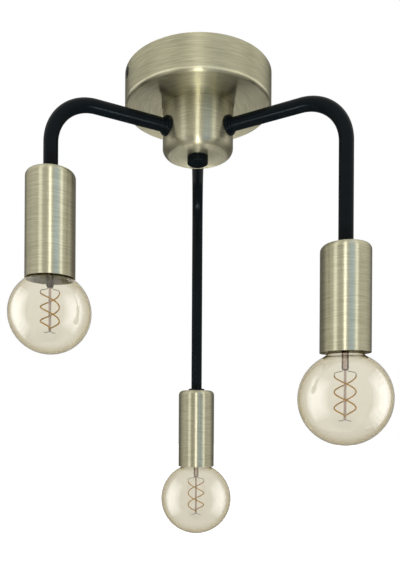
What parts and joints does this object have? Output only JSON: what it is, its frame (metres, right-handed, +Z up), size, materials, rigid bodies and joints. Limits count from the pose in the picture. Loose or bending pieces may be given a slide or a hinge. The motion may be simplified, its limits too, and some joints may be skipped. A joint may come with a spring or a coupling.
{
  "type": "semi flush ceiling light",
  "caption": "Brushed brass canopy and hub with black bent arms of different drops, each with a tall sleeve and a tinted globe bulb.",
  "frame": {"origin": "centre of the canopy at the ceiling, on the bracket's top face", "axes": "+Z up into the ceiling, +Y along the rear arm, X to the right seen from the front"},
  "size_m": [0.37, 0.3392, 0.5305],
  "materials": {
    "antique_brass": "brushed and lacquered, antique tone",
    "black_paint": "satin black",
    "zinc_steel": "zinc plated",
    "nickel": "nickel plated",
    "solder": "soldered",
    "brass_contact": "bright",
    "filament": "amber wire",
    "tinted_glass": "clear with a champagne tint",
    "clear_glass": "clear",
    "black_glass": null,
    "black_plastic": "matt",
    "white_plastic": "matt",
    "ceramic": "glazed",
    "cable": "matt sheath",
    "earth_cable": "green and yellow sheath"
  },
  "bodies": {
    "fixture": {"ceiling_bracket": "zinc_steel", "canopy": "antique_brass", "canopy_screws": "black_paint", "hub": "antique_brass", "tie_rod": "zinc_steel", "tie_rod_nuts": "zinc_steel", "finial_nut": "black_paint", "cable_bush": "black_plastic", "terminal_block": "white_plastic", "earth_stud": "zinc_steel", "earth_lead": "earth_cable", "nipples": "zinc_steel", "nipple_nuts": "zinc_steel", "hub_collars": "black_paint", "sleeve_collars": "black_paint", "left_lead": "cable", "left_arm": "black_paint", "left_sleeve": "antique_brass", "left_holder_cap": "black_plastic", "left_holder_body": "black_plastic", "left_holder_insert": "ceramic", "left_holder_shell": "brass_contact", "left_holder_contact": "brass_contact", "right_lead": "cable", "right_arm": "black_paint", "right_sleeve": "antique_brass", "right_holder_cap": "black_plastic", "right_holder_body": "black_plastic", "right_holder_insert": "ceramic", "right_holder_shell": "brass_contact", "right_holder_contact": "brass_contact", "rear_lead": "cable", "rear_arm": "black_paint", "rear_sleeve": "antique_brass", "rear_holder_cap": "black_plastic", "rear_holder_body": "black_plastic", "rear_holder_insert": "ceramic", "rear_holder_shell": "brass_contact", "rear_holder_contact": "brass_contact"},
    "left_bulb": {"left_bulb_glass": "tinted_glass", "left_bulb_cap": "nickel", "left_bulb_insulator": "black_glass", "left_bulb_contact": "solder", "left_bulb_stem": "clear_glass", "left_bulb_filament": "filament", "left_bulb_wires": "nickel"},
    "right_bulb": {"right_bulb_glass": "tinted_glass", "right_bulb_cap": "nickel", "right_bulb_insulator": "black_glass", "right_bulb_contact": "solder", "right_bulb_stem": "clear_glass", "right_bulb_filament": "filament", "right_bulb_wires": "nickel"},
    "rear_bulb": {"rear_bulb_glass": "tinted_glass", "rear_bulb_cap": "nickel", "rear_bulb_insulator": "black_glass", "rear_bulb_contact": "solder", "rear_bulb_stem": "clear_glass", "rear_bulb_filament": "filament", "rear_bulb_wires": "nickel"}
  },
  "joints": [
    {"name": "left_bulb_out", "type": "slide", "parent": "fixture", "child": "left_bulb", "axis": [0, 0, -1], "range_m": [0, 0.06]},
    {"name": "right_bulb_out", "type": "slide", "parent": "fixture", "child": "right_bulb", "axis": [0, 0, -1], "range_m": [0, 0.06]},
    {"name": "rear_bulb_out", "type": "slide", "parent": "fixture", "child": "rear_bulb", "axis": [0, 0, -1], "range_m": [0, 0.06]}
  ]
}
